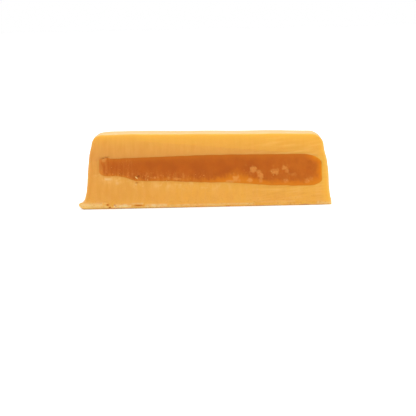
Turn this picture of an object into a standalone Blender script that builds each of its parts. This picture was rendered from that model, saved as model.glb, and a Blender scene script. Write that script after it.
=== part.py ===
"""Half of a moulded fudge cube, cut across so that its caramel filling shows.

The cube was turned out of its mould and laid on its open side: the walls lean in towards a flat top with
rounded edges, and a thin uneven lip runs round the foot, where the mould was filled over its rim. The cut
face is plain and looks towards -Y. The filling is one slab that starts at the cut face and ends inside the
back wall. Units are metres, +Z is up, and the origin is under the middle of the whole piece.
"""

import math

import bpy

MM = 0.001

# The fudge round the filling. X runs along the cut, Y into the cube.
BASE_WIDTH = 49.0 * MM
BASE_DEPTH = 24.5 * MM
HEIGHT = 14.9 * MM  # at the left end of the cut
TOP_FALL = 0.8 * MM  # how much lower the top is at the right end
DRAFT = math.radians(6.0)
TOP_RADIUS = 3.2 * MM
CORNER_RADIUS = 6.0 * MM  # the back corners, at the foot

# The foot: the walls flare a little, and a lip stands out from them.
FLARE = 0.3 * MM
FLARE_HEIGHT = 3.0 * MM
LIP_HEIGHT = 1.5 * MM
LIP_REACH = 0.45 * MM
LIP_WAVES = ((0.13 * MM, 11.0 * MM, 0.6), (0.09 * MM, 4.7 * MM, 2.1))  # reach, length, phase
LIP_CORNER_REACH = 0.75 * MM  # what the front left corner adds
LIP_CORNER_LENGTH = 4.0 * MM
LIP_SOLE = 0.18  # how far up its bead the lip is where it meets the table
FOOT_THINS_FROM = 0.6  # as a share of the way round to the front right corner
FOOT_THINS_BY = 0.75

# The filling, measured from the middle of the base width. Its ends are shares of its length.
FILLING_LEFT = -21.4 * MM
FILLING_RIGHT = 22.7 * MM
FILLING_BACK = 21.2 * MM
FILLING_TOP = 10.1 * MM
FILLING_CROWN = 0.35 * MM  # how much higher the top is where it swells
FILLING_CROWN_AT = 0.5
FILLING_CROWN_SPREAD = 0.2
FILLING_BOTTOM = 6.4 * MM  # at the left end
FILLING_BOTTOM_FALL = 0.7 * MM  # steadily, from left to right
FILLING_STEPS_DOWN = ((1.2 * MM, 0.03, 0.30), (0.9 * MM, 0.50, 0.75))  # drop, where it starts, where it ends
# Each end's corners: how far along the filling and how far up they are rounded.
LEFT_TOP_ROUND = (0.5 * MM, 0.4 * MM)
LEFT_BOTTOM_ROUND = (1.4 * MM, 1.1 * MM)
RIGHT_TOP_ROUND = (3.2 * MM, 2.2 * MM)
RIGHT_BOTTOM_ROUND = (4.0 * MM, 2.2 * MM)
BACK_ROUND_ACROSS = 4.0 * MM
BACK_ROUND_LENGTH = 1.5 * MM
BACK_ROUND_UP = 1.35 * MM
CLEARANCE = 0.3 * MM  # between the filling and its pocket

# How finely the curves are divided.
SPACING = 1.0 * MM
CORNER_STEPS = 8
LIP_STEPS = 6
TOP_STEPS = 8
ACROSS_STEPS = 38
BACK_STEPS = 8
SHARP_ANGLE = math.radians(40)
OVERCUT = 1.0 * MM


def smooth_step(value, low, high):
    """0 below low, 1 above high, and an even S-curve between them."""
    share = min(1.0, max(0.0, (value - low) / (high - low)))
    return share * share * (3 - 2 * share)


def round_off(distance, length, height):
    """How far an elliptic corner has dropped at this distance before its end."""
    if distance >= length:
        return 0.0
    along = 1 - max(0.0, distance) / length
    return height * (1 - math.sqrt(1 - along * along))


def footprint():
    """[((x, y), (outward x, outward y), distance round the foot)], from the front left corner round the back."""
    half = BASE_WIDTH / 2
    side = BASE_DEPTH - CORNER_RADIUS
    back = BASE_WIDTH - 2 * CORNER_RADIUS
    arc = CORNER_RADIUS * math.pi / 2
    points = []

    def straight(start, heading, outward, length, begun):
        count = round(length / SPACING)
        for i in range(count):
            along = length * i / count
            x = start[0] + heading[0] * along
            y = start[1] + heading[1] * along
            points.append(((x, y), outward, begun + along))

    def corner(centre, first_angle, begun):
        for i in range(CORNER_STEPS):
            turned = math.pi / 2 * i / CORNER_STEPS
            out = (math.cos(first_angle - turned), math.sin(first_angle - turned))
            x = centre[0] + CORNER_RADIUS * out[0]
            y = centre[1] + CORNER_RADIUS * out[1]
            points.append(((x, y), out, begun + CORNER_RADIUS * turned))

    straight((-half, 0), (0, 1), (-1, 0), side, 0)
    corner((-half + CORNER_RADIUS, side), math.pi, side)
    straight((-half + CORNER_RADIUS, BASE_DEPTH), (1, 0), (0, 1), back, side + arc)
    corner((half - CORNER_RADIUS, side), math.pi / 2, side + arc + back)
    straight((half, side), (0, -1), (1, 0), side, side + 2 * arc + back)
    points.append(((half, 0), (1, 0), 2 * (side + arc) + back))
    return points


def lip_reach(distance):
    """How far the lip would stand out at this distance round the foot if it didn't thin."""
    reach = LIP_REACH + LIP_CORNER_REACH * math.exp(-((distance / LIP_CORNER_LENGTH) ** 2))
    for size, length, phase in LIP_WAVES:
        reach += size * math.sin(2 * math.pi * distance / length + phase)
    return reach


def wall_levels():
    """[(height, inset, share of the lip's reach)] from the base to the flat top."""
    levels = []
    for i in range(LIP_STEPS + 1):
        share = i / LIP_STEPS
        bead = math.sin(math.pi * (LIP_SOLE + (1 - LIP_SOLE) * share))
        levels.append((LIP_HEIGHT * share, LIP_HEIGHT * share * math.tan(DRAFT), bead))
    for height in ((LIP_HEIGHT + FLARE_HEIGHT) / 2, FLARE_HEIGHT):
        levels.append((height, height * math.tan(DRAFT), 0.0))
    arc_centre = HEIGHT - TOP_RADIUS
    tangent = arc_centre + TOP_RADIUS * math.sin(DRAFT)
    arc_inset = tangent * math.tan(DRAFT) + TOP_RADIUS * math.cos(DRAFT)
    for i in range(TOP_STEPS + 1):
        angle = DRAFT + (math.pi / 2 - DRAFT) * i / TOP_STEPS
        height = arc_centre + TOP_RADIUS * math.sin(angle)
        levels.append((height, arc_inset - TOP_RADIUS * math.cos(angle), 0.0))
    return levels


def shell_rings():
    """One ring of points for each level of the fudge, each with a straight front edge on the cut face."""
    outline = footprint()
    whole = outline[-1][2]
    rings = []
    for height, inset, bead in wall_levels():
        flare = FLARE * max(0.0, 1 - height / FLARE_HEIGHT) ** 2
        ring = []
        for (x, y), outward, distance in outline:
            thinned = 1 - FOOT_THINS_BY * smooth_step(distance, whole * FOOT_THINS_FROM, whole)
            out = (flare + max(0.0, bead) * lip_reach(distance)) * thinned - inset
            across = x + outward[0] * out
            fall = TOP_FALL * (across / BASE_WIDTH + 0.5) * height / HEIGHT
            ring.append((across, y + outward[1] * out, height - fall))
        rings.append(ring)
    return rings


def filling_edges(x, left, right, grown):
    """(bottom, top) of the filling at this place along the cut, grown by a clearance."""
    share = (x - FILLING_LEFT) / (FILLING_RIGHT - FILLING_LEFT)
    crown = math.exp(-(((share - FILLING_CROWN_AT) / FILLING_CROWN_SPREAD) ** 2))
    top = FILLING_TOP + FILLING_CROWN * crown + grown
    bottom = FILLING_BOTTOM - FILLING_BOTTOM_FALL * share - grown
    for drop, start, end in FILLING_STEPS_DOWN:
        bottom -= drop * smooth_step(share, start, end)
    top -= round_off(x - left, *LEFT_TOP_ROUND) + round_off(right - x, *RIGHT_TOP_ROUND)
    bottom += round_off(x - left, *LEFT_BOTTOM_ROUND) + round_off(right - x, *RIGHT_BOTTOM_ROUND)
    return bottom, top


def filling_section(y, grown):
    """A closed outline of the filling, in the plane at this depth."""
    before_end = FILLING_BACK + grown - y
    narrowed = round_off(before_end, BACK_ROUND_ACROSS, BACK_ROUND_ACROSS)
    thinned = round_off(before_end, BACK_ROUND_LENGTH, BACK_ROUND_UP)
    left = FILLING_LEFT - grown
    right = FILLING_RIGHT + grown
    middle = (left + right) / 2
    lower = []
    upper = []
    for i in range(ACROSS_STEPS + 1):
        x = middle - (right - left) / 2 * math.cos(math.pi * i / ACROSS_STEPS)
        bottom, top = filling_edges(x, left, right, grown)
        across = middle + (x - middle) * (1 - 2 * narrowed / (right - left))
        lower.append((across, y, bottom + thinned))
        upper.append((across, y, top - thinned))
    return lower + upper[::-1]


def filling_sections(front, grown):
    """The filling's outlines from its front to its rounded back."""
    back = FILLING_BACK + grown
    depths = [front, back - BACK_ROUND_ACROSS]
    for i in range(1, BACK_STEPS + 1):
        depths.append(back - BACK_ROUND_ACROSS * (1 - math.sin(math.pi / 2 * i / BACK_STEPS)))
    return [filling_section(y, grown) for y in depths]


def loft(name, rings):
    """A closed mesh object through rings of equal length, which run clockwise seen from the last ring."""
    count = len(rings[0])
    points = [point for ring in rings for point in ring]
    faces = [tuple(range(count)), tuple(reversed(range(len(points) - count, len(points))))]
    for start in range(0, len(points) - count, count):
        for i in range(count):
            j = (i + 1) % count
            faces.append((start + j, start + i, start + count + i, start + count + j))
    mesh = bpy.data.meshes.new(name)
    mesh.from_pydata(points, [], faces)
    mesh.shade_smooth()
    mesh.set_sharp_from_angle(angle=SHARP_ANGLE)
    made = bpy.data.objects.new(name, mesh)
    bpy.context.scene.collection.objects.link(made)
    return made


def waxy_material(name, colour, roughness):
    """A food surface of one colour, given as linear red, green and blue."""
    material = bpy.data.materials.new(name)
    material.use_nodes = True
    shader = material.node_tree.nodes["Principled BSDF"]
    shader.inputs["Base Color"].default_value = (*colour, 1)
    shader.inputs["Roughness"].default_value = roughness
    shader.inputs["Metallic"].default_value = 0
    return material


def cut_pocket(body, cutter):
    """Takes the filling's room out of the fudge."""
    cutter.hide_render = True
    cutter.display_type = "WIRE"
    cut = body.modifiers.new("pocket", "BOOLEAN")
    cut.operation = "DIFFERENCE"
    cut.solver = "EXACT"
    cut.object = cutter


def centre_on_base(objects, rings):
    """Moves the pieces so that the origin lies under the middle of the outer rings."""
    across = [x for ring in rings for x, _, _ in ring]
    deep = [y for ring in rings for _, y, _ in ring]
    for made in objects:
        made.location = (-(min(across) + max(across)) / 2, -(min(deep) + max(deep)) / 2, 0)


def main():
    for old in list(bpy.data.objects):
        bpy.data.objects.remove(old)
    rings = shell_rings()
    shell = loft("fudge_shell", rings)
    filling = loft("caramel_filling", filling_sections(0, 0))
    pocket = loft("pocket_cutter", filling_sections(-OVERCUT, CLEARANCE))
    cut_pocket(shell, pocket)
    shell.data.materials.append(waxy_material("fudge", (0.80, 0.36, 0.065), 0.4))
    filling.data.materials.append(waxy_material("caramel", (0.49, 0.12, 0.015), 0.45))
    centre_on_base((shell, filling, pocket), rings)


main()
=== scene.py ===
"""Half of a moulded fudge cube, cut across so that its caramel filling shows, on a pale table."""

import math
import random

import bmesh
import bpy
from mathutils import Matrix, Vector, noise


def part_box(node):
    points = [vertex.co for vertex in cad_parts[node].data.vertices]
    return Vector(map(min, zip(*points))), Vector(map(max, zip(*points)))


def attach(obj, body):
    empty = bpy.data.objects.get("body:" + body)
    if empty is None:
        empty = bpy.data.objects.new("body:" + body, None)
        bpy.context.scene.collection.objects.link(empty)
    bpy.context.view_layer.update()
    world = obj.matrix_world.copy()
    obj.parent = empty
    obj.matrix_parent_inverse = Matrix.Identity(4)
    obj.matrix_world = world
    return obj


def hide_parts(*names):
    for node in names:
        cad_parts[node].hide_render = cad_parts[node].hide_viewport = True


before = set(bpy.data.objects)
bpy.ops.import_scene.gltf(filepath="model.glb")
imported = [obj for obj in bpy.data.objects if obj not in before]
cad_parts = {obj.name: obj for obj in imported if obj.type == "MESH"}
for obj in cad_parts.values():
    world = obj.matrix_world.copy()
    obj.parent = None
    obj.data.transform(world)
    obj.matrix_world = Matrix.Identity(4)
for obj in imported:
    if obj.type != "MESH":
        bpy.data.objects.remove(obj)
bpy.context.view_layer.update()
SHELL_LOW, SHELL_HIGH = (Vector(corner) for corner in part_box("fudge_shell"))
FILLING_LOW, FILLING_HIGH = (Vector(corner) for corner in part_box("caramel_filling"))

MM = 0.001

# The fudge. X runs along the cut, Y into the piece, and the cut face lies at FRONT.
FRONT = SHELL_LOW.y
LEFT = SHELL_LOW.x + 1.5 * MM  # the walls' feet, inside the lip
RIGHT = SHELL_HIGH.x - 0.3 * MM
BACK = SHELL_HIGH.y - 0.8 * MM
MIDDLE = (LEFT + RIGHT) / 2
TOP = SHELL_HIGH.z + 0.17 * MM  # at the left end
TOP_FALL = 0.8 * MM
DRAFT = math.radians(6)
CORNER_RADIUS = 6.0 * MM
TOP_ROUND = 2.2 * MM
CUT_EDGE_ROUND = 0.16 * MM

# The lip round the foot.
LIP_MIDDLE = 0.92 * MM  # height of its outermost line
LIP_ABOVE = 0.48 * MM  # how far it reaches above that line, and below it
LIP_BELOW = 0.92 * MM
LIP_REACH = 0.42 * MM
LIP_CORNER_REACH = 0.66 * MM  # what the front left corner adds
LIP_CORNER_LENGTH = 3.5 * MM
LIP_SPREAD = 2.6 * MM  # how far into the cut face the lip draws the fudge with it
FLARE = 0.26 * MM
FLARE_START = 1.3 * MM
FLARE_END = 3.9 * MM
LIP_THINNING = 0.8  # how much of the lip and the flare is missing along the right wall

# How the side walls leave a plain lean: how far, and the heights at which each move starts and
# is full, and falls and ends again if it does.
RIGHT_BELLY = 0.13 * MM
RIGHT_BELLY_HEIGHTS = (2 * MM, 5 * MM)
RIGHT_KNUCKLE = 0.2 * MM
RIGHT_KNUCKLE_HEIGHTS = (4 * MM, 7 * MM, 8.8 * MM, 11 * MM)
RIGHT_DIP = 0.07 * MM
RIGHT_DIP_HEIGHTS = (11.6 * MM, 1.3 * MM)  # its middle and its reach
LEFT_BELLY = 0.1 * MM
LEFT_BELLY_HEIGHTS = (5 * MM, 7.5 * MM, 10.5 * MM, 12 * MM)
LEFT_DIP = 0.15 * MM
LEFT_DIP_HEIGHTS = (12.9 * MM, 0.9 * MM)
WALL_DEPTH = 1.1 * MM  # how far inside the face the walls' move has died away

# How the top waves along the cut.
TOP_HUMP = 0.05 * MM
TOP_HUMP_PLACE = (9 * MM, 14 * MM, 15 * MM, 20 * MM)  # where it starts, is full, falls and ends
TOP_LOW_END = 0.16 * MM
TOP_LOW_END_PLACE = (-20 * MM, -14 * MM)  # lowest up to here, and not low from here on
TOP_WAVE_HEIGHTS = (11 * MM, 13.5 * MM)  # from nothing to all of it

# The rough ridge that the knife pulled out along the bottom of the cut, high at its left end.
# Its height and its strength fall along it: (drop, start, end) of each step down.
RIDGE_HEIGHT = 1.25 * MM
RIDGE_STEPS_DOWN = ((0.6 * MM, -20.2 * MM, -18.4 * MM), (0.25 * MM, -14 * MM, -8 * MM))
RIDGE_WEAKENING = ((0.15, -20 * MM, -18 * MM), (0.25, -13 * MM, -4 * MM), (0.25, -4 * MM, 6 * MM))
RIDGE_OUT = 0.3 * MM
CREASE_GAP = 0.05 * MM  # between the ridge and the middle of the crease over it
CREASE_WIDTH = 0.1 * MM
CREASE_DEPTH = 0.04 * MM
CREASE_START = (-19.5 * MM, -18 * MM)  # from nothing to all of it

# The faint slanting step that the knife left over the filling.
KNIFE_HEIGHT = 13.3 * MM  # at KNIFE_FROM
KNIFE_FROM = -12 * MM
KNIFE_FALL = 0.095
KNIFE_SOFTNESS = 0.09 * MM
KNIFE_START = (-15 * MM, -11 * MM)
KNIFE_DEPTH = 0.07 * MM

# The fine slanting strokes towards the right of the cut.
STROKE_DEPTH = 0.032 * MM
STROKE_SLANT = 0.15
STROKES_START = (7 * MM, 13 * MM)

# The filling.
FILL_LEFT = FILLING_LOW.x - 0.15 * MM
FILL_RIGHT = FILLING_HIGH.x + 0.15 * MM
FILL_BACK = FILLING_HIGH.y + 0.15 * MM
FILL_TOP = 10.0 * MM
FILL_TOP_RISE = 0.2 * MM
FILL_CROWN = 0.28 * MM
FILL_BOTTOM = 6.6 * MM
FILL_BOTTOM_FALL = 1.35 * MM
FILL_STEPS_DOWN = (  # (drop, start, end) of each step in its bottom
    (0.85 * MM, -17.3 * MM, -13.2 * MM),
    (0.20 * MM, -8.0 * MM, 0.0),
    (0.45 * MM, 4.0 * MM, 15.0 * MM),
)
FILL_BUMP = 0.2 * MM  # on its top, near the left end
FILL_BUMP_PLACE = (-19.6 * MM, 0.6 * MM)  # its middle and its reach
FILL_LEFT_TOP_ROUND = (0.5 * MM, 0.3 * MM)  # (length, height) of each rounded corner
FILL_LEFT_BOTTOM_ROUND = (1.5 * MM, 1.0 * MM)
FILL_RIGHT_TOP_ROUND = (4.2 * MM, 2.0 * MM)
FILL_RIGHT_BOTTOM_ROUND = (3.0 * MM, 1.4 * MM)
FILL_CORNER_RADIUS = 4 * MM
FILL_RIM_RADIUS = 1.2 * MM

# The small hollows in the cut: (across, up, half length, half height, depth) of each.
HOLLOWS = (
    (-20.35 * MM, 10.16 * MM, 0.45 * MM, 0.09 * MM, 0.20 * MM),
    (-19.55 * MM, 10.36 * MM, 0.50 * MM, 0.09 * MM, 0.26 * MM),
    (-13.15 * MM, 6.40 * MM, 0.22 * MM, 0.18 * MM, 0.28 * MM),
    (-13.45 * MM, 5.12 * MM, 0.22 * MM, 0.13 * MM, 0.22 * MM),
    (-19.40 * MM, 0.80 * MM, 0.28 * MM, 0.20 * MM, 0.35 * MM),
    (-19.00 * MM, 0.28 * MM, 0.20 * MM, 0.18 * MM, 0.50 * MM),
    (-18.00 * MM, 0.75 * MM, 0.18 * MM, 0.12 * MM, 0.15 * MM),
    (-17.80 * MM, 0.50 * MM, 0.20 * MM, 0.10 * MM, 0.15 * MM),
    (-13.30 * MM, 0.55 * MM, 0.95 * MM, 0.14 * MM, 0.25 * MM),
    (19.90 * MM, 0.06 * MM, 0.95 * MM, 0.12 * MM, 0.40 * MM),
    (4.60 * MM, 0.10 * MM, 0.50 * MM, 0.10 * MM, 0.25 * MM),
)
HOLLOW_REACH = 1.7  # how many times its half size a hollow reaches before it has died away
POCKET_HEIGHTS = (3 * MM, 11.3 * MM)  # the filling's room lies between these
POCKET_INSIDE = 0.7 * MM  # and further than this inside the walls

# The lighter amber band along the filling's bottom.
AMBER_DEPTH = 0.5 * MM
AMBER_MORE = 0.35 * MM  # what it gains from AMBER_MORE_PLACE's start to its end
AMBER_MORE_PLACE = (-12 * MM, 2 * MM)
AMBER_SWELL = 1.3 * MM
AMBER_SWELL_PLACE = (6.8 * MM, 2.8 * MM)
AMBER_LAST = 0.3 * MM
AMBER_LAST_PLACE = (18 * MM, 22 * MM)
AMBER_LEAST = 0.15 * MM

# Sugar that has grained in the filling: (across, up, half width, half height, strength) of each
# pale patch.
SUGAR_SPOTS = (
    (-19.95 * MM, 9.80 * MM, 0.60 * MM, 0.28 * MM, 0.55),
    (-9.90 * MM, 6.00 * MM, 0.20 * MM, 0.20 * MM, 0.70),
    (-5.60 * MM, 5.75 * MM, 0.75 * MM, 0.20 * MM, 0.65),
    (-7.20 * MM, 5.95 * MM, 0.30 * MM, 0.25 * MM, 0.50),
    (-4.20 * MM, 6.30 * MM, 0.22 * MM, 0.55 * MM, 0.35),
    (6.25 * MM, 5.65 * MM, 0.52 * MM, 0.48 * MM, 1.00),
    (5.20 * MM, 5.00 * MM, 0.95 * MM, 0.22 * MM, 0.85),
    (6.95 * MM, 5.15 * MM, 0.25 * MM, 0.30 * MM, 0.60),
    (9.05 * MM, 5.18 * MM, 0.50 * MM, 0.32 * MM, 1.00),
    (9.75 * MM, 7.30 * MM, 0.66 * MM, 0.60 * MM, 0.80),
    (10.80 * MM, 6.80 * MM, 0.40 * MM, 0.45 * MM, 0.60),
    (11.15 * MM, 6.00 * MM, 0.44 * MM, 0.50 * MM, 0.85),
    (11.15 * MM, 5.15 * MM, 0.32 * MM, 0.50 * MM, 0.60),
    (13.55 * MM, 6.95 * MM, 0.40 * MM, 0.40 * MM, 0.45),
    (14.25 * MM, 6.75 * MM, 0.55 * MM, 0.50 * MM, 0.80),
    (15.95 * MM, 7.50 * MM, 0.42 * MM, 0.34 * MM, 0.75),
    (16.40 * MM, 7.00 * MM, 0.38 * MM, 0.38 * MM, 0.60),
    (17.60 * MM, 6.20 * MM, 0.75 * MM, 0.28 * MM, 0.28),
    (16.20 * MM, 4.85 * MM, 0.38 * MM, 0.34 * MM, 0.50),
    (20.50 * MM, 4.75 * MM, 0.45 * MM, 0.35 * MM, 0.55),
    (21.25 * MM, 5.20 * MM, 0.32 * MM, 0.34 * MM, 0.30),
)

SUGAR_REACH = 3  # how many times its half size a patch can reach
SUGAR_FINE_REACH = 2  # within this the filling is divided more finely

# Painted highlights on the cut, mostly along the ridge: (start, end, up, half height, strength) of each
# streak.
PAINTED_HIGHLIGHTS = (
    (-25.3 * MM, -20.3 * MM, 0.95 * MM, 0.38 * MM, 0.36),
    (-18.3 * MM, -14.6 * MM, 0.58 * MM, 0.28 * MM, 1.10),
    (-14.8 * MM, -12.2 * MM, 0.90 * MM, 0.18 * MM, 0.55),
    (-12.1 * MM, -7.4 * MM, 0.52 * MM, 0.25 * MM, 1.05),
    (-7.4 * MM, 10.0 * MM, 0.50 * MM, 0.17 * MM, 0.50),
    (10.0 * MM, 18.0 * MM, 0.85 * MM, 0.16 * MM, 0.18),
    (22.2 * MM, 25.3 * MM, 0.40 * MM, 0.34 * MM, 0.50),
    (-19.9 * MM, -18.4 * MM, 5.95 * MM, 0.20 * MM, 0.50),
    (-17.8 * MM, -17.1 * MM, 5.10 * MM, 0.24 * MM, 0.35),
    (-14.0 * MM, -13.4 * MM, 4.80 * MM, 0.14 * MM, 0.70),
)
HIGHLIGHT_TAPER = 0.25 * MM  # at each end

# How the skin behind the cut takes over from it.
CUT_COLOUR_REACH = 0.6 * MM
SKIN_RELIEF_START = 1.5 * MM

# How finely the pieces are divided, and where the cut is divided once more.
ACROSS_STEP = 0.3 * MM
UP_STEP = 0.25 * MM
FOOT_STEP = 0.12 * MM
DEEP_STEP = 0.75 * MM
FILL_SLICES = 220  # closest together at the filling's ends
FOOT_HEIGHT = 1.7 * MM
FINE_BY_WALL = 0.9 * MM
FINE_BY_TOP = 0.5 * MM
HAIR = 0.002 * MM

# Loose crumbs of fudge on the ridge, along these stretches of it in millimetres.
CRUMBS_ON_RIDGE = 45
CRUMB_STRETCHES = ((-25, -18), (-18, -6), (-6, 12), (17, 23))

# Grains of sugar: how many for each millimetre of a patch's half sizes, and how many fine ones.
GRAINS_PER_MM = 3
FINE_GRAINS = 18

# The camera, far off and turned slightly.
DISTANCE = 1.0
FRAME_WIDTH = 82.9 * MM  # what the camera takes in at the cut face
LOOK_DOWN = math.radians(2.7)
ROLL = math.radians(1.2)
AIM = Vector((0.55 * MM, FRONT, -0.2 * MM))


def smooth_step(value, low, high):
    """0 up to low, 1 from high on, and a smooth rise between them."""
    share = min(1.0, max(0.0, (value - low) / (high - low)))
    return share * share * (3 - 2 * share)


def between(value, start, full, falling, end):
    """1 from full to falling, 0 before the start and past the end."""
    return smooth_step(value, start, full) * (1 - smooth_step(value, falling, end))


def hump(value, middle, reach):
    """1 at the middle, dying away smoothly on both sides."""
    off = (value - middle) / reach
    return math.exp(-off * off)


def dying(distance, reach):
    """1 where there is no distance, dying away with it."""
    return math.exp(-distance / reach)


def stepped_down(value, x, steps):
    """The value less every (drop, start, end) that has been passed along the cut."""
    for drop, start, end in steps:
        value -= drop * smooth_step(x, start, end)
    return value


def round_off(distance, length, height):
    """How far an elliptic corner has dropped at this distance before its end."""
    if distance >= length:
        return 0.0
    along = 1 - max(0.0, distance) / length
    return height * (1 - math.sqrt(1 - along * along))


def wobble(point, size, seed=0.0):
    """Smooth noise between about -1 and 1, whose lumps are this size."""
    return noise.noise(Vector(point) / size + Vector((seed, seed * 1.7, -seed)))


# ---- Modelling by hand ----


def begin(add, name, **place):
    """Adds a primitive at its size and place, selected alone."""
    bpy.ops.object.select_all(action="DESELECT")
    add(**place)
    made = bpy.context.active_object
    made.name = name
    made.data.name = name
    bpy.ops.object.transform_apply(location=True, rotation=True, scale=True)
    return made


def begin_block(name, low, high):
    size = [b - a for a, b in zip(low, high)]
    centre = [(a + b) / 2 for a, b in zip(low, high)]
    return begin(bpy.ops.mesh.primitive_cube_add, name, size=1, location=centre, scale=size)


def alone(made):
    bpy.ops.object.select_all(action="DESELECT")
    made.select_set(True)
    bpy.context.view_layer.objects.active = made


def edit(made):
    alone(made)
    bpy.ops.object.mode_set(mode="EDIT")


def leave():
    bpy.ops.object.mode_set(mode="OBJECT")


def pick(kind, test):
    """Selects what passes the test, among the vertices, edges or faces of the mesh being edited."""
    bpy.ops.mesh.select_mode(type=kind)
    bpy.ops.mesh.select_all(action="DESELECT")
    mesh = bmesh.from_edit_mesh(bpy.context.active_object.data)
    items = {"VERT": mesh.verts, "EDGE": mesh.edges, "FACE": mesh.faces}[kind]
    for item in items:
        item.select_set(bool(test(item)))
    mesh.select_flush_mode()
    bmesh.update_edit_mesh(bpy.context.active_object.data)


def both_ends(test):
    return lambda edge: all(test(vert.co) for vert in edge.verts)


def run_of(edge, axis):
    """How far an edge runs along one axis."""
    return abs(edge.verts[0].co[axis] - edge.verts[1].co[axis])


def slice_along(axis, start, end, step):
    """Cuts everything across one axis, again and again, so that the surface can take fine relief."""
    normal = [0, 0, 0]
    normal[axis] = 1
    count = int((end - start) / step)
    for i in range(1, count):
        place = [0, 0, 0]
        place[axis] = start + (end - start) * i / count
        bpy.ops.mesh.select_all(action="SELECT")
        bpy.ops.mesh.bisect(plane_co=place, plane_no=normal, threshold=1e-7)


def slice_finely():
    slice_along(0, LEFT, RIGHT, ACROSS_STEP)
    slice_along(2, 0, FOOT_HEIGHT, FOOT_STEP)
    slice_along(2, FOOT_HEIGHT, TOP, UP_STEP)
    slice_along(1, FRONT, BACK, DEEP_STEP)


def divide_cut(test, cuts):
    """Makes the cut face finer where a place on it passes the test."""
    pick("FACE", lambda face: face.normal.y < -0.9 and test(face.calc_center_median()))
    bpy.ops.mesh.subdivide(number_cuts=cuts)


def near_spot(place, spots, reach):
    """Whether a place of the cut lies within so many half sizes of the middle of a spot."""
    return any(
        abs(place.x - x) < reach * length and abs(place.z - z) < reach * height
        for x, z, length, height, _ in spots
    )


def near_hollow(place):
    return near_spot(place, HOLLOWS, HOLLOW_REACH)


def near_sugar(place):
    return near_spot(place, SUGAR_SPOTS, SUGAR_FINE_REACH)


def near_edge(place):
    """Whether a place of the cut lies by the foot, a side wall or the top."""
    by_wall = to_wall(place)[1] < FINE_BY_WALL
    return place.z < FOOT_HEIGHT or by_wall or top_at(place.x) - place.z < FINE_BY_TOP


def apply_modifier(made, kind, **settings):
    alone(made)
    modifier = made.modifiers.new(kind.lower(), kind)
    for key, value in settings.items():
        setattr(modifier, key, value)
    bpy.ops.object.modifier_apply(modifier=modifier.name)


# ---- The filling ----


def filling_edges(x):
    """(bottom, top) of the filling at this place along the cut."""
    share = (x - FILL_LEFT) / (FILL_RIGHT - FILL_LEFT)
    top = FILL_TOP + FILL_TOP_RISE * share + FILL_CROWN * hump(share, 0.5, 0.3)
    top += FILL_BUMP * hump(x, *FILL_BUMP_PLACE)
    top += 0.05 * MM * wobble((x, 0, 0), 2.3 * MM, 3)
    bottom = stepped_down(FILL_BOTTOM - FILL_BOTTOM_FALL * share, x, FILL_STEPS_DOWN)
    bottom += 0.09 * MM * wobble((x, 0, 0), 1.9 * MM, 8) + 0.05 * MM * wobble((x, 0, 0), 0.7 * MM, 5)
    from_left = x - FILL_LEFT
    from_right = FILL_RIGHT - x
    top -= round_off(from_left, *FILL_LEFT_TOP_ROUND) + round_off(from_right, *FILL_RIGHT_TOP_ROUND)
    bottom += round_off(from_left, *FILL_LEFT_BOTTOM_ROUND)
    bottom += round_off(from_right, *FILL_RIGHT_BOTTOM_ROUND)
    return bottom, top


def filling_edges_near(x):
    """The same, with the ends' values past the filling's ends."""
    return filling_edges(min(max(x, FILL_LEFT), FILL_RIGHT))


def filling_block():
    """One slab from the cut face back, with the outline that shows at the cut."""
    low = (FILL_LEFT, FRONT, FILL_BOTTOM)
    slab = begin_block("caramel_slab", low, (FILL_RIGHT, FILL_BACK, FILL_TOP))
    edit(slab)
    at_back = lambda co: co.y > FRONT + MM
    pick("EDGE", lambda edge: both_ends(at_back)(edge) and run_of(edge, 0) < MM)
    bpy.ops.mesh.bevel(offset=FILL_CORNER_RADIUS, segments=8, affect="EDGES", clamp_overlap=False)
    at_rim = lambda co: co.z > FILL_TOP - HAIR or co.z < FILL_BOTTOM + HAIR
    pick("EDGE", lambda edge: both_ends(at_back)(edge) and both_ends(at_rim)(edge))
    bpy.ops.mesh.bevel(offset=FILL_RIM_RADIUS, segments=5, affect="EDGES", clamp_overlap=False)
    half_length = (FILL_RIGHT - FILL_LEFT) / 2
    for i in range(1, FILL_SLICES):
        x = (FILL_LEFT + FILL_RIGHT) / 2 - half_length * math.cos(math.pi * i / FILL_SLICES)
        bpy.ops.mesh.select_all(action="SELECT")
        bpy.ops.mesh.bisect(plane_co=(x, 0, 0), plane_no=(1, 0, 0), threshold=1e-7)
    leave()
    for vert in slab.data.vertices:
        bottom, top = filling_edges(vert.co.x)
        share = (vert.co.z - FILL_BOTTOM) / (FILL_TOP - FILL_BOTTOM)
        vert.co.z = bottom + (top - bottom) * share
    return slab


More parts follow.
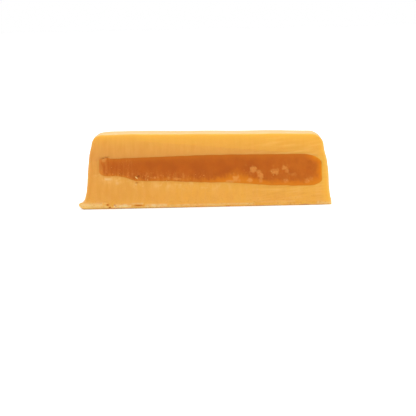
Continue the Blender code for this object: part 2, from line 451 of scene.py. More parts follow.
def moulded_block():
    """The block as it came out of the mould, with leaning walls and rounded edges."""
    block = begin_block("moulded_fudge", (LEFT, FRONT, 0), (RIGHT, BACK, TOP))
    edit(block)
    width = RIGHT - LEFT
    depth = BACK - FRONT
    lean = TOP * math.tan(DRAFT)
    narrower = ((width - 2 * lean) / width, (depth - lean) / depth, 1)
    pick("FACE", lambda face: face.normal.z > 0.9)
    bpy.ops.transform.resize(value=narrower, center_override=(MIDDLE, FRONT, TOP))
    pick("VERT", lambda vert: vert.co.z > TOP / 2 and vert.co.x > MIDDLE)
    bpy.ops.transform.translate(value=(0, 0, -TOP_FALL))
    at_back = lambda co: co.y > FRONT + depth / 2
    pick("EDGE", lambda edge: both_ends(at_back)(edge) and run_of(edge, 2) > TOP / 2)
    bpy.ops.mesh.bevel(offset=CORNER_RADIUS, segments=12, affect="EDGES", clamp_overlap=False)
    at_top = lambda co: co.z > TOP - TOP_FALL - HAIR
    at_front = lambda co: co.y < FRONT + HAIR
    pick("EDGE", lambda edge: both_ends(at_top)(edge) and not both_ends(at_front)(edge))
    bpy.ops.mesh.bevel(offset=TOP_ROUND, segments=10, affect="EDGES", clamp_overlap=False)
    pick("EDGE", both_ends(at_front))
    bpy.ops.mesh.bevel(offset=CUT_EDGE_ROUND, segments=2, affect="EDGES", clamp_overlap=False)
    leave()
    return block


def take_room_for(block, slab):
    """Cuts the filling's room out of the block."""
    cutter = slab.copy()
    cutter.data = slab.data.copy()
    bpy.context.collection.objects.link(cutter)
    for vert in cutter.data.vertices:
        if vert.co.y < FRONT + HAIR:
            vert.co.y -= 1 * MM
    apply_modifier(block, "BOOLEAN", operation="DIFFERENCE", solver="EXACT", object=cutter)
    bpy.data.objects.remove(cutter)


# ---- Relief ----


def top_at(x):
    """The height of the sloping top, before it waves."""
    return TOP - TOP_FALL * (x - LEFT) / (RIGHT - LEFT)


def to_wall(place):
    """(outward direction, how far inside the wall's face) of a place in the block."""
    inset = place.z * math.tan(DRAFT)
    beside = abs(place.x - MIDDLE) - ((RIGHT - LEFT) / 2 - inset - CORNER_RADIUS)
    behind = place.y - (BACK - inset - CORNER_RADIUS)
    side = math.copysign(1, place.x - MIDDLE)
    if beside > 0 and behind > 0:
        length = math.hypot(beside, behind)
        return Vector((side * beside / length, behind / length, 0)), CORNER_RADIUS - length
    if beside > behind:
        return Vector((side, 0, 0)), CORNER_RADIUS - beside
    return Vector((0, 1, 0)), CORNER_RADIUS - behind


def wall_move(place, outward, inside):
    """How the side walls leave a plain lean: both belly out, and dip in again under the top."""
    if place.x > MIDDLE:
        off = RIGHT_BELLY * smooth_step(place.z, *RIGHT_BELLY_HEIGHTS)
        off += RIGHT_KNUCKLE * between(place.z, *RIGHT_KNUCKLE_HEIGHTS)
        off -= RIGHT_DIP * hump(place.z, *RIGHT_DIP_HEIGHTS)
    else:
        off = LEFT_BELLY * between(place.z, *LEFT_BELLY_HEIGHTS)
        off -= LEFT_DIP * hump(place.z, *LEFT_DIP_HEIGHTS)
    return Vector((outward.x, 0, 0)) * off * (1 - smooth_step(inside, 0.0, WALL_DEPTH))


def top_wave(x):
    """The top is a little low at its left end and a little high towards its right."""
    low_end = TOP_LOW_END * (1 - smooth_step(x, *TOP_LOW_END_PLACE))
    return TOP_HUMP * between(x, *TOP_HUMP_PLACE) - low_end


def foot_move(place, outward, inside):
    """How the foot's flare and its uneven, rounded lip move a place of the block."""
    if place.z > FLARE_END or inside > LIP_SPREAD:
        return Vector()
    reach = LIP_REACH * (1 + 0.5 * wobble((place.x, place.y, 0), 3.1 * MM, 5))
    reach += 0.12 * MM * wobble((place.x, place.y, 0), 1.1 * MM, 9)
    if place.x < MIDDLE:
        reach += LIP_CORNER_REACH * hump(place.y, FRONT, LIP_CORNER_LENGTH)
    middle = LIP_MIDDLE * (1 + 0.06 * wobble((place.x, place.y, 0), 2.5 * MM, 2))
    if place.z > middle:
        bead = max(0.0, 1 - ((place.z - middle) / LIP_ABOVE) ** 3) ** (1 / 3)
    else:
        bead = max(0.0, 1 - ((middle - place.z) / LIP_BELOW) ** 2) ** 0.8
    flare = FLARE * (1 - smooth_step(place.z, FLARE_START, FLARE_END))
    thinned = 1 - LIP_THINNING * max(0.0, outward.x)
    drawn = (1 - max(0.0, inside) / LIP_SPREAD) ** 2
    return outward * (flare + bead * reach) * thinned * drawn


def ridge_height(x):
    uneven = 1 + 0.25 * wobble((x, 0, 0), 1.7 * MM, 4)
    return stepped_down(RIDGE_HEIGHT, x, RIDGE_STEPS_DOWN) * uneven


def ridge_strength(x):
    """How strongly the ridge stands out: fully at the left end, hardly at the right."""
    return stepped_down(1, x, RIDGE_WEAKENING)


def ridge_share(x, z):
    """1 along the middle of the ridge, 0 above it."""
    height = ridge_height(x)
    if z >= height:
        return 0.0
    return math.sin(math.pi * min(1, 0.25 + 0.75 * z / height)) * ridge_strength(x)


def crease_share(x, z):
    """1 in the crease just above the ridge."""
    here = hump(z, ridge_height(x) + CREASE_GAP, CREASE_WIDTH)
    return here * ridge_strength(x) * smooth_step(x, *CREASE_START)


def knife_mark(x, z):
    """1 above the knife's slanting step, 0 below it."""
    line = KNIFE_HEIGHT - KNIFE_FALL * (x - KNIFE_FROM)
    above = smooth_step(z, line - KNIFE_SOFTNESS, line + KNIFE_SOFTNESS)
    return above * smooth_step(x, *KNIFE_START)


def hollow_share(x, z):
    """(depth, share) of the small hollows at this place of the cut."""
    depth = share = 0.0
    for across, up, length, height, deep in HOLLOWS:
        off = math.hypot((x - across) / length, (z - up) / height)
        if off < HOLLOW_REACH:
            here = 0.5 + 0.5 * math.cos(math.pi * off / HOLLOW_REACH)
            depth += deep * here
            share = max(share, here)
    return depth, share


def painted_highlight_share(x, z):
    """How strongly painted highlights lighten the cut at this place."""
    share = 0.0
    for start, end, up, height, strength in PAINTED_HIGHLIGHTS:
        along = between(x, start, start + HIGHLIGHT_TAPER, end - HIGHLIGHT_TAPER, end)
        off = (z - up - 0.08 * MM * wobble((x, 0, 0), 1.2 * MM, 21)) / height
        share = max(share, strength * along * math.exp(-off * off))
    return min(1.0, share * max(0.0, 0.85 + 0.6 * wobble((x, 0, z), 0.55 * MM, 22)))


def cut_relief(x, z):
    """How far the cut lies behind its plane, or before it where this is negative."""
    relief = 0.05 * MM * wobble((x, 0, z), 7 * MM, 1)
    relief += 0.012 * MM * wobble((x, 0, z * 0.3), 0.8 * MM, 6)
    stroke = wobble((x * 0.14, 0, z - STROKE_SLANT * x), 0.5 * MM, 16)
    relief += STROKE_DEPTH * stroke * smooth_step(x, *STROKES_START)
    relief -= KNIFE_DEPTH * knife_mark(x, z)
    ridge = ridge_share(x, z)
    relief -= RIDGE_OUT * ridge * (1 + 0.35 * wobble((x, 0, z), 0.9 * MM, 7))
    relief -= 0.04 * MM * wobble((x, 0, z), 0.5 * MM, 17) * ridge
    relief += CREASE_DEPTH * crease_share(x, z)
    return relief + hollow_share(x, z)[0]


def add_notes(made, notes):
    """Writes every note, a value for each vertex, on the piece's mesh."""
    for name, values in notes.items():
        attribute = made.data.attributes.new(name, "FLOAT", "POINT")
        attribute.data.foreach_set("value", values)


def cut_notes(x, z):
    """What the fudge looks like at this place of the cut, as shares of each tone of its finish, several
    of them painted light and shade.
    """
    inside = max(0.0, to_wall(Vector((x, FRONT, z)))[1])
    under_top = max(0.0, top_at(x) - z)
    bottom, top = filling_edges_near(x)
    above = z - top
    below = max(bottom - z, FILL_LEFT - x, x - FILL_RIGHT, 0.0)
    right = smooth_step(x, MIDDLE, RIGHT)
    low = 1 - smooth_step(z, 3 * MM, 11 * MM)
    across = smooth_step(x, -24 * MM, 4 * MM)

    # Painted glow, as if light shone through the thin fudge. It sits under the top, inside the right wall
    # and round the filling's right end, with a little more above the knife's step and towards the right.
    painted_glow = dying(under_top, 1.2 * MM) + 0.18 * knife_mark(x, z) + 0.1 * right
    if x > MIDDLE:
        painted_glow = max(painted_glow, 0.85 * hump(inside, 0, 1.3 * MM))
    from_filling = math.hypot(max(0.0, x - FILL_RIGHT), max(0.0, bottom - z, above))
    at_right_end = smooth_step(x, FILL_RIGHT - 2.5 * MM, FILL_RIGHT) * dying(from_filling, 0.4 * MM)
    over_filling = between(x, FILL_LEFT - 2 * MM, FILL_LEFT, FILL_RIGHT - 2 * MM, FILL_RIGHT)
    dragged = over_filling * (1 - 0.9 * smooth_step(x, 2 * MM, 9 * MM))
    # Painted highlight along the side walls' edges, strongest on the right.
    by_wall = (0.3 + 0.6 * right) * hump(inside, 0, 0.28 * MM)
    return {
        # Painted light: the cut is lighter towards its bottom and towards its right.
        "light": 0.42 * low + (0.36 + 0.2 * low) * across,
        "painted_glow": min(1.0, max(painted_glow, 0.7 * at_right_end)),
        # Painted shade just above the filling.
        "painted_shade": over_filling * dying(above, 0.9 * MM) if above > -HAIR else 0.0,
        # The ridge's paler fudge, with a painted highlight along it.
        "pale_ridge_and_painted_highlight": ridge_share(x, z),
        # Painted highlights, mostly along the ridge.
        "painted_highlight": painted_highlight_share(x, z),
        # Painted shade in the hollows, and a little in the crease over the ridge.
        "painted_hollow_shade": max(hollow_share(x, z)[1], 0.2 * crease_share(x, z)),
        # Painted light low on the cut, lifting the shade by the table; the dark specks by the foot use
        # the same mask.
        "foot": hump(z, 0, 1.7 * MM),
        "stain": (1 - 0.8 * right) * dying(below, 0.25 * MM) if above < 0 else 0.0,
        "drag": dragged * hump(bottom - z, 0.7 * MM, 0.8 * MM) if z < bottom else 0.0,
        # Painted highlight along the side walls and the top edge.
        "edge": max(by_wall, 0.6 * dying(under_top, 0.15 * MM)),
        "brushed": smooth_step(x, 5 * MM, 13 * MM),
        "skin": 0.0,
    }


# The shares that the moulded skin has, away from the cut, with a little painted glow. The others are 0
# there.
SKIN_NOTES = {"light": 0.5, "painted_glow": 0.3, "skin": 1}


def shape_block(block):
    """Gives the block its lip, uneven skin and knife relief, and notes where its colour changes and where
    light and shade are painted on it.
    """
    notes = {}
    normals = [vert.normal.copy() for vert in block.data.vertices]
    for vert, normal in zip(block.data.vertices, normals):
        place = vert.co.copy()
        outward, inside = to_wall(place)
        in_pocket = inside > POCKET_INSIDE and POCKET_HEIGHTS[0] < place.z < POCKET_HEIGHTS[1]
        move = foot_move(place, outward, inside) + wall_move(place, outward, inside)
        move.z += top_wave(place.x) * smooth_step(place.z, *TOP_WAVE_HEIGHTS)
        if place.y < FRONT + HAIR:
            move.y = cut_relief(place.x, place.z)
        elif not in_pocket and place.z > HAIR:
            uneven = 0.07 * MM * wobble(place, 5 * MM) + 0.02 * MM * wobble(place, 1.6 * MM)
            move += normal * uneven * smooth_step(place.y, FRONT, FRONT + SKIN_RELIEF_START)
        vert.co = place + move
        by_cut = dying(max(0.0, place.y - FRONT), CUT_COLOUR_REACH)
        for name, value in cut_notes(place.x, place.z).items():
            on_skin = SKIN_NOTES.get(name, 0)
            notes.setdefault(name, []).append(value * by_cut + on_skin * (1 - by_cut))
    add_notes(block, notes)


def sugar_at(x, z):
    """How much grained sugar shows at this place of the filling."""
    sugar = 0.0
    for across, up, width, height, strength in SUGAR_SPOTS:
        off = math.hypot((x - across) / width, (z - up) / height)
        if off < SUGAR_REACH:
            within = 1 - smooth_step(off, 0.4, 1.9)
            ragged = smooth_step(1.4 * within + 0.9 * wobble((x, 0, z), 0.45 * MM, 11), 0.15, 1.4)
            sugar = max(sugar, strength * ragged * (0.85 + 0.35 * wobble((x, 0, z), 0.22 * MM, 15)))
    return max(0.0, min(1.0, sugar))


def amber_at(x, z, bottom):
    """How strongly the filling is a lighter amber, in a ragged band along its bottom."""
    depth = AMBER_DEPTH + AMBER_MORE * smooth_step(x, *AMBER_MORE_PLACE)
    depth += 0.25 * MM * wobble((x, 0, 0), 1.5 * MM, 18)
    depth += AMBER_SWELL * hump(x, *AMBER_SWELL_PLACE)
    depth += AMBER_LAST * smooth_step(x, *AMBER_LAST_PLACE)
    depth += 0.4 * MM * wobble((x, 0, z), 0.8 * MM, 19) + 0.3 * MM * wobble((x, 0, z), 0.35 * MM, 23)
    depth = max(AMBER_LEAST, depth)
    strength = 0.45 + 0.5 * smooth_step(x, -3 * MM, 4 * MM)
    return strength * (1 - smooth_step(z - bottom, 0.2 * depth, depth * 1.5))


def slab_notes(x, z):
    """What the filling looks like at this place of the cut, as shares of each tone of its finish, a few
    of them painted light and shade.
    """
    bottom, top = filling_edges(x)
    low = 1 - smooth_step(z, bottom, bottom + 0.6 * (top - bottom))
    left = 1 - smooth_step(x, -12 * MM, 6 * MM)
    gap = max(0.0, min(z - bottom + 0.3 * MM, top - z, FILL_RIGHT - x))
    ragged = 0.9 + 0.4 * wobble((x, 0, z), 0.6 * MM, 24)
    to_right_end = smooth_step(x, FILL_RIGHT - 4 * MM, FILL_RIGHT - MM)
    to_tip = smooth_step(x, FILL_RIGHT - 2 * MM, FILL_RIGHT - 0.5 * MM)
    return {
        "top_band": hump(z, top, 0.75 * MM),
        "amber": amber_at(x, z, bottom),
        "sugar": sugar_at(x, z),
        "left_end": hump(x, FILL_LEFT, 1.7 * MM),
        # Painted glow at the filling's right end, as if light came through the thin caramel.
        "right_end_painted_glow": hump(gap, 0, 0.9 * MM + 0.5 * MM * low) * to_right_end * ragged,
        "drag": max(low * (0.25 + 0.75 * left), 0.4 * hump(x, -15.5 * MM, 1.8 * MM)),
        "haze": smooth_step(x, 6 * MM, 19 * MM),
        # Painted light along the filling's edge near its right tip, lightening the seam there.
        "tip_seam_painted_light": hump(gap, 0, 0.14 * MM) * to_tip,
        # Painted shade in the hollows.
        "painted_hollow_shade": hollow_share(x, z)[1],
    }


def shape_slab(slab):
    """Gives the filling's cut face its relief, and notes where its colour changes and where light and
    shade are painted on it.
    """
    notes = {}
    for vert in slab.data.vertices:
        x, y, z = vert.co
        bottom, top = filling_edges(x)
        here = slab_notes(x, z)
        if y < FRONT + HAIR:
            rough = 0.05 * MM * wobble((x, 0, z), 0.9 * MM, 12)
            rough += 0.03 * MM * wobble((x, 0, z), 0.4 * MM, 13)
            rough *= 0.35 + 0.65 * here["drag"]
            streaks = 0.06 * MM * wobble((x, 0, z * 0.15), 0.45 * MM, 14)
            streaks *= max(here["drag"], here["left_end"])
            raised = 0.07 * MM * here["sugar"]
            gap = max(0.0, min(z - bottom, top - z, x - FILL_LEFT, FILL_RIGHT - x))
            own = (rough + streaks - raised) * smooth_step(gap, 0, 0.5 * MM)
            vert.co.y += cut_relief(x, z) + own
        for name, value in here.items():
            notes.setdefault(name, []).append(value)
    add_notes(slab, notes)


# ---- Crumbs ----


def crumb_shapes():
    """Three lumps that every crumb is a copy of, about a millimetre across."""
    shapes = []
    for seed in range(3):
        ball = {"subdivisions": 2, "radius": 0.5 * MM}
        lump = begin(bpy.ops.mesh.primitive_ico_sphere_add, "crumb_shape", **ball)
        for vert in lump.data.vertices:
            vert.co *= 1 + 0.45 * wobble(vert.co, 0.55 * MM, seed * 5 + 1)
        shapes.append(lump)
    return shapes


def scatter(name, shapes, places, rng):
    """One piece of many crumbs. Each place is ((x, y, z), size, stretch upwards, lean)."""
    copies = []
    for place, size, stretch, lean in places:
        crumb = shapes[rng.randrange(len(shapes))].copy()
        crumb.data = crumb.data.copy()
        bpy.context.collection.objects.link(crumb)
        angle = rng.uniform(0, math.tau)
        axle = Vector((rng.random(), rng.random(), rng.random()))
        turn = Matrix.Rotation(angle, 4, axle)
        shape = Matrix.Diagonal((size, size * 0.6, size * stretch, 1))
        crumb.data.transform(Matrix.Translation(place) @ Matrix.Rotation(lean, 4, "Y") @ shape @ turn)
        copies.append(crumb)
    bpy.ops.object.select_all(action="DESELECT")
    for crumb in copies:
        crumb.select_set(True)
    bpy.context.view_layer.objects.active = copies[0]
    bpy.ops.object.join()
    made = bpy.context.active_object
    made.name = name
    made.data.name = name
    return made


def on_cut_at(x, z, sunk):
    """A place this far behind the cut as it is after its relief."""
    return x, FRONT + cut_relief(x, z) + sunk, z


def sugar_places(rng):
    """Where grains of sugar stand out: on the pale patches, and a few fine ones low in the filling."""
    places = []
    for across, up, width, height, strength in SUGAR_SPOTS:
        for _ in range(int(GRAINS_PER_MM * strength * (width + height) / MM)):
            x = across + rng.gauss(0, width * 0.5)
            z = up + rng.gauss(0, height * 0.5)
            bottom, top = filling_edges_near(x)
            within = bottom + 0.1 * MM < z < top - 0.15 * MM
            if not within or not FILL_LEFT < x < FILL_RIGHT - 0.3 * MM:
                continue
            size = rng.uniform(0.12, 0.3)
            place = on_cut_at(x, z, (0.08 * size - 0.02) * MM)
            places.append((place, size, rng.uniform(0.7, 1.2), 0.0))
    for _ in range(FINE_GRAINS):
        x = rng.uniform(-19, 2) * MM
        bottom = filling_edges(x)[0]
        z = bottom + rng.uniform(0.12, 1.6) ** 1.3 * MM
        places.append((on_cut_at(x, z, 0.0), rng.uniform(0.1, 0.17), rng.uniform(0.8, 2.2), 0.0))
    return places


def fudge_crumb_places(rng):
    """Where crumbs of fudge stick: along the ridge, and two by the filling's lower edge."""
    places = []
    for _ in range(CRUMBS_ON_RIDGE):
        x = rng.choice([rng.uniform(*stretch) for stretch in CRUMB_STRETCHES]) * MM
        z = rng.uniform(0.15, 0.85) * ridge_height(x) + 0.08 * MM
        size = rng.uniform(0.1, 0.3) * (1 if x < -6 * MM else 0.7)
        places.append((on_cut_at(x, z, 0.02 * MM), size, rng.uniform(0.5, 0.9), 0.0))
    places.append((on_cut_at(-13.6 * MM, 6.15 * MM, -0.03 * MM), 0.24, 3.0, math.radians(-48)))
    places.append((on_cut_at(-13.7 * MM, 4.75 * MM, 0.0), 0.2, 0.8, 0.0))
    return places


# ---- Finishes ----


def chart(red, green, blue):
    """A colour as a paint chart gives it, turned to the linear values that a shader takes."""
    parts = [value / 255 for value in (red, green, blue)]
    return [part / 12.92 if part < 0.04045 else ((part + 0.055) / 1.055) ** 2.4 for part in parts] + [1]


class Finish:
    """A material, with short ways to add the nodes that these foods need."""

    def __init__(self, name, roughness, gloss, soft_colours, soft_depth):
        self.material = bpy.data.materials.new(name)
        self.material.use_nodes = True
        self.nodes = self.material.node_tree.nodes
        self.links = self.material.node_tree.links
        self.shader = self.nodes["Principled BSDF"]
        self.shader.inputs["Roughness"].default_value = roughness
        self.shader.inputs["Specular IOR Level"].default_value = gloss
        self.shader.inputs["Subsurface Weight"].default_value = 0.2
        self.shader.inputs["Subsurface Radius"].default_value = soft_colours
        self.shader.inputs["Subsurface Scale"].default_value = soft_depth
        self.place = self.nodes.new("ShaderNodeTexCoord").outputs["Object"]

    def put(self, value, socket):
        if hasattr(value, "is_linked"):
            self.links.new(value, socket)
        else:
            socket.default_value = value

    def grain(self, size, stretch=(1, 1, 1), detail=2.0, seed=0.0, lean=0.0):
        """Noise from 0 to 1 whose lumps are this size, drawn out along each axis by its stretch."""
        leaning = self.nodes.new("ShaderNodeMapping")
        leaning.inputs["Rotation"].default_value = (0, lean, 0)
        self.links.new(self.place, leaning.inputs["Vector"])
        mapping = self.nodes.new("ShaderNodeMapping")
        mapping.inputs["Scale"].default_value = [1 / (size * s) for s in stretch]
        mapping.inputs["Location"].default_value = (seed, seed, seed)
        self.links.new(leaning.outputs["Vector"], mapping.inputs["Vector"])
        texture = self.nodes.new("ShaderNodeTexNoise")
        texture.inputs["Scale"].default_value = 1
        texture.inputs["Detail"].default_value = detail
        self.links.new(mapping.outputs["Vector"], texture.inputs["Vector"])
        return texture.outputs["Fac"]

    def noted(self, name):
        """One of the values that the piece's own mesh carries."""
        node = self.nodes.new("ShaderNodeAttribute")
        node.attribute_name = name
        return node.outputs["Fac"]

    def spread(self, value, low, high, new_low=0.0, new_high=1.0):
        """The value, with low to high stretched to new_low to new_high and held to that."""
        node = self.nodes.new("ShaderNodeMapRange")
        limits = {"From Min": low, "From Max": high, "To Min": new_low, "To Max": new_high}
        for name, number in limits.items():
            node.inputs[name].default_value = number
        self.links.new(value, node.inputs["Value"])
        return node.outputs["Result"]

    def work(self, how, first, second):
        node = self.nodes.new("ShaderNodeMath")
        node.operation = how
        self.put(first, node.inputs[0])
        self.put(second, node.inputs[1])
        return node.outputs["Value"]

    def times(self, first, second):
        return self.work("MULTIPLY", first, second)

    def part_of(self, name, share):
        """This share of one of the mesh's values."""
        return self.times(self.noted(name), share)

    def blend(self, share, first, second):
        """A colour between two, by share."""
        node = self.nodes.new("ShaderNodeMix")
        node.data_type = "RGBA"
        self.put(share, node.inputs["Factor"])
        self.put(first, [s for s in node.inputs if s.name == "A" and s.type == "RGBA"][0])
        self.put(second, [s for s in node.inputs if s.name == "B" and s.type == "RGBA"][0])
        return [s for s in node.outputs if s.type == "RGBA"][0]

    def glaze(self, colour, coats):
        """Gives the piece this colour, and over it these coats in turn, each (share, colour)."""
        for share, coat in coats:
            colour = self.blend(share, colour, coat)
        self.colour(colour)

    def colour(self, value):
        self.put(value, self.shader.inputs["Base Color"])

    def roughness(self, value):
        self.put(value, self.shader.inputs["Roughness"])

    def relief(self, height, depth):
        bump = self.nodes.new("ShaderNodeBump")
        bump.inputs["Distance"].default_value = depth
        self.links.new(height, bump.inputs["Height"])
        self.links.new(bump.outputs["Normal"], self.shader.inputs["Normal"])


def fudge_finish():
    colours = (1.0, 0.45, 0.16)
    finish = Finish("waxy_fudge", roughness=0.42, gloss=0.3, soft_colours=colours, soft_depth=2.0 * MM)
    part_of = finish.part_of
    times = finish.times
    spread = finish.spread
    cloudy = spread(finish.grain(4 * MM), 0.3, 0.7)
    mottled = spread(finish.grain(1.3 * MM, detail=3, seed=2), 0.35, 0.7)
    streaky = finish.grain(0.5 * MM, (1, 3, 6), seed=3)
    fine = finish.grain(0.25 * MM, seed=7)
    grains = spread(finish.grain(0.6 * MM, (2, 1, 1), seed=4), 0.42, 0.56)
    lines = spread(streaky, 0.5, 0.66)
    dabs = spread(finish.grain(0.7 * MM, (1.6, 1, 1), detail=3, seed=12), 0.52, 0.66)
    strokes = finish.grain(0.45 * MM, (9, 1, 1), seed=14, lean=math.radians(6))
    specks = spread(finish.grain(0.35 * MM, detail=1, seed=8), 0.6, 0.72)
    bloom_and_painted_sheen = spread(finish.grain(3 * MM, detail=4, seed=9), 0.3, 0.75, 0.1, 0.45)
    # Painted light and shade: the base runs from the darker colour to the lighter one by the light note.
    base = finish.blend(finish.noted("light"), chart(220, 148, 57), chart(247, 180, 66))
    coats = (
        # Painted light low by the foot, lifting the shade by the table.
        (part_of("foot", 0.85), chart(255, 194, 78)),
        (times(cloudy, 0.3), chart(242, 176, 76)),
        (times(mottled, 0.2), chart(222, 146, 56)),
        (spread(streaky, 0.35, 0.7, 0, 0.3), chart(246, 182, 90)),
        (spread(fine, 0.45, 0.7, 0, 0.22), chart(226, 148, 54)),
        # Painted shade just above the filling.
        (part_of("painted_shade", 0.7), chart(220, 145, 62)),
        (times(part_of("drag", 0.3), lines), chart(252, 196, 104)),
        (times(part_of("drag", 0.4), dabs), chart(252, 200, 112)),
        (times(part_of("brushed", 0.32), spread(strokes, 0.52, 0.68)), chart(254, 202, 112)),
        (times(part_of("brushed", 0.28), spread(strokes, 0.48, 0.32)), chart(220, 142, 44)),
        # Painted glow, where light would come through thin fudge.
        (finish.noted("painted_glow"), chart(252, 188, 60)),
        (part_of("stain", 0.4), chart(216, 130, 40)),
        # The ridge's paler fudge, with a painted highlight along it.
        (part_of("pale_ridge_and_painted_highlight", 0.8), finish.blend(grains, chart(248, 178, 72), chart(255, 208, 120))),
        # Painted highlights, mostly along the ridge.
        (part_of("painted_highlight", 0.95), chart(255, 226, 166)),
        (times(part_of("foot", 0.5), specks), chart(216, 140, 40)),
        # Pale bloom on the moulded skin, and with it a painted sheen.
        (times(finish.noted("skin"), bloom_and_painted_sheen), chart(250, 200, 136)),
        # Painted highlight along the side walls and the top edge.
        (part_of("edge", 0.7), chart(255, 212, 138)),
        # Painted shade in the hollows and the crease.
        (part_of("painted_hollow_shade", 0.75), chart(196, 112, 30)),
    )
    finish.glaze(base, coats)
    finish.roughness(spread(cloudy, 0, 1, 0.38, 0.5))
    finish.relief(finish.work("ADD", streaky, times(fine, 0.3)), 0.03 * MM)
    return finish.material


def caramel_finish():
    colours = (1.0, 0.32, 0.08)
    finish = Finish("dense_caramel", roughness=0.4, gloss=0.15, soft_colours=colours, soft_depth=1.5 * MM)
    part_of = finish.part_of
    times = finish.times
    cloudy = finish.spread(finish.grain(2.6 * MM, detail=3), 0.3, 0.7)
    streaky = finish.grain(0.4 * MM, (1, 3, 7), seed=5)
    fine = finish.grain(0.2 * MM, seed=9)
    specks = finish.spread(finish.grain(0.3 * MM, (1, 1, 1.5), detail=1, seed=6), 0.57, 0.7)
    hazy = finish.spread(finish.grain(1.1 * MM, detail=4, seed=13), 0.3, 0.7, 0.1, 0.6)
    lines = finish.spread(streaky, 0.42, 0.66)
    base = finish.blend(cloudy, chart(181, 88, 10), chart(194, 99, 14))
    coats = (
        (part_of("top_band", 0.55), chart(212, 118, 16)),
        (times(finish.noted("haze"), hazy), chart(208, 114, 26)),
        # Painted glow at the filling's right end.
        (part_of("right_end_painted_glow", 0.9), chart(238, 136, 6)),
        # Painted light along the filling's edge near its right tip.
        (part_of("tip_seam_painted_light", 0.8), chart(248, 168, 40)),
        (times(part_of("drag", 0.6), lines), chart(214, 128, 50)),
        (part_of("left_end", 0.3), chart(214, 120, 24)),
        (times(part_of("left_end", 0.5), lines), chart(232, 148, 62)),
        (times(part_of("drag", 0.65), specks), chart(222, 140, 62)),
        (part_of("amber", 0.9), chart(230, 134, 18)),
        (part_of("sugar", 0.85), chart(236, 160, 74)),
        # Painted shade in the hollows.
        (part_of("painted_hollow_shade", 0.6), chart(150, 70, 20)),
    )
    finish.glaze(base, coats)
    finish.roughness(finish.spread(fine, 0.3, 0.7, 0.34, 0.52))
    finish.relief(finish.work("ADD", streaky, times(fine, 0.4)), 0.03 * MM)
    return finish.material


def crumb_finish(name, dark, light):
    finish = Finish(name, roughness=0.5, gloss=0.25, soft_colours=(1.0, 0.45, 0.2), soft_depth=1.0 * MM)
    finish.colour(finish.blend(finish.spread(finish.grain(0.4 * MM), 0.3, 0.7), dark, light))
    finish.relief(finish.grain(0.1 * MM), 0.02 * MM)
    return finish.material


def table_finish():
    """White to the eye, and a plain pale surface to everything that it lights."""
    finish = Finish("pale_table", roughness=0.6, gloss=0.3, soft_colours=(1, 1, 1), soft_depth=0.0)
    finish.shader.inputs["Subsurface Weight"].default_value = 0
    seen = finish.nodes.new("ShaderNodeLightPath").outputs["Is Camera Ray"]
    cloudy = finish.spread(finish.grain(30 * MM), 0.3, 0.7)
    finish.colour(finish.blend(cloudy, chart(238, 238, 238), chart(242, 242, 242)))
    finish.shader.inputs["Emission Color"].default_value = (1, 1, 1, 1)
    finish.put(finish.times(seen, 0.42), finish.shader.inputs["Emission Strength"])
    return finish.material


# ---- Light and camera ----


def area_light(name, place, size, power):
    """A rectangular lamp that points at the piece."""
    data = bpy.data.lights.new(name, "AREA")
    data.shape = "RECTANGLE"
    data.size, data.size_y = size
    data.energy = power
    lamp = bpy.data.objects.new(name, data)
    lamp.location = place
    lamp.rotation_euler = (Vector((0, 0, 5 * MM)) - lamp.location).to_track_quat("-Z", "Y").to_euler()
    bpy.context.scene.collection.objects.link(lamp)


def soft_world():
    """Even light from all round, brighter where it is seen or mirrored."""
    world = bpy.data.worlds.new("studio")
    world.use_nodes = True
    nodes = world.node_tree.nodes
    links = world.node_tree.links
    background = nodes["Background"]
    background.inputs["Color"].default_value = (1, 1, 1, 1)
    path = nodes.new("ShaderNodeLightPath")
    seen = path.outputs["Is Camera Ray"]
    for name in ("Is Glossy Ray", "Is Transmission Ray"):
        either = nodes.new("ShaderNodeMath")
        either.operation = "MAXIMUM"
        links.new(seen, either.inputs[0])
        links.new(path.outputs[name], either.inputs[1])
        seen = either.outputs["Value"]
    strength = nodes.new("ShaderNodeMapRange")
    strength.inputs["To Min"].default_value = 0.7
    strength.inputs["To Max"].default_value = 1.0
    links.new(seen, strength.inputs["Value"])
    links.new(strength.outputs["Result"], background.inputs["Strength"])
    bpy.context.scene.world = world


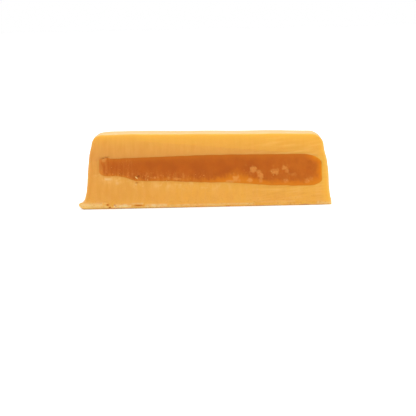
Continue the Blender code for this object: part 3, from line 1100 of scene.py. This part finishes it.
def add_camera():
    data = bpy.data.cameras.new("camera")
    data.sensor_width = 36
    data.lens = data.sensor_width * DISTANCE / FRAME_WIDTH
    camera = bpy.data.objects.new("camera", data)
    bpy.context.scene.collection.objects.link(camera)
    forward = Vector((0, math.cos(LOOK_DOWN), -math.sin(LOOK_DOWN)))
    level = Vector((1, 0, 0))
    upright = level.cross(forward)
    right = level * math.cos(ROLL) - upright * math.sin(ROLL)
    up = level * math.sin(ROLL) + upright * math.cos(ROLL)
    turned = Matrix((right, up, -forward)).transposed().to_4x4()
    camera.matrix_world = Matrix.Translation(AIM - forward * DISTANCE) @ turned
    bpy.context.scene.camera = camera


# ---- Making ----

slab = filling_block()
block = moulded_block()
take_room_for(block, slab)
for piece in (block, slab):
    edit(piece)
    slice_finely()
    divide_cut(near_edge if piece is block else near_sugar, 1)
    divide_cut(near_hollow, 1)
    leave()
shape_block(block)
shape_slab(slab)

rng = random.Random(7)
shapes = crumb_shapes()
sugar = scatter("sugar_crumbs", shapes, sugar_places(rng), rng)
crumbs = scatter("fudge_crumbs", shapes, fudge_crumb_places(rng), rng)
for shape in shapes:
    bpy.data.objects.remove(shape)

fudge = fudge_finish()
caramel = caramel_finish()
for piece, material, slot in (
    (block, fudge, "fudge"),
    (slab, caramel, "caramel"),
    (sugar, crumb_finish("grained_sugar", chart(214, 136, 52), chart(240, 168, 82)), "caramel"),
    (crumbs, crumb_finish("fudge_crumb", chart(240, 180, 86), chart(255, 216, 130)), "fudge"),
):
    alone(piece)
    bpy.ops.object.shade_smooth_by_angle(angle=math.radians(38))
    piece.data.materials.clear()
    piece.data.materials.append(material)
    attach(piece, "root")
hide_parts("fudge_shell")
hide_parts("caramel_filling")

table = begin(bpy.ops.mesh.primitive_plane_add, "table_top", size=6, location=(0, 0, 0))
table.data.materials.append(table_finish())
area_light("overhead", place=(0.15, 0.25, 0.6), size=(0.5, 0.4), power=2.4)
area_light("front", place=(-0.3, -0.7, 0.4), size=(0.5, 0.5), power=1.5)
soft_world()
add_camera()
bpy.context.scene.view_settings.view_transform = "Standard"
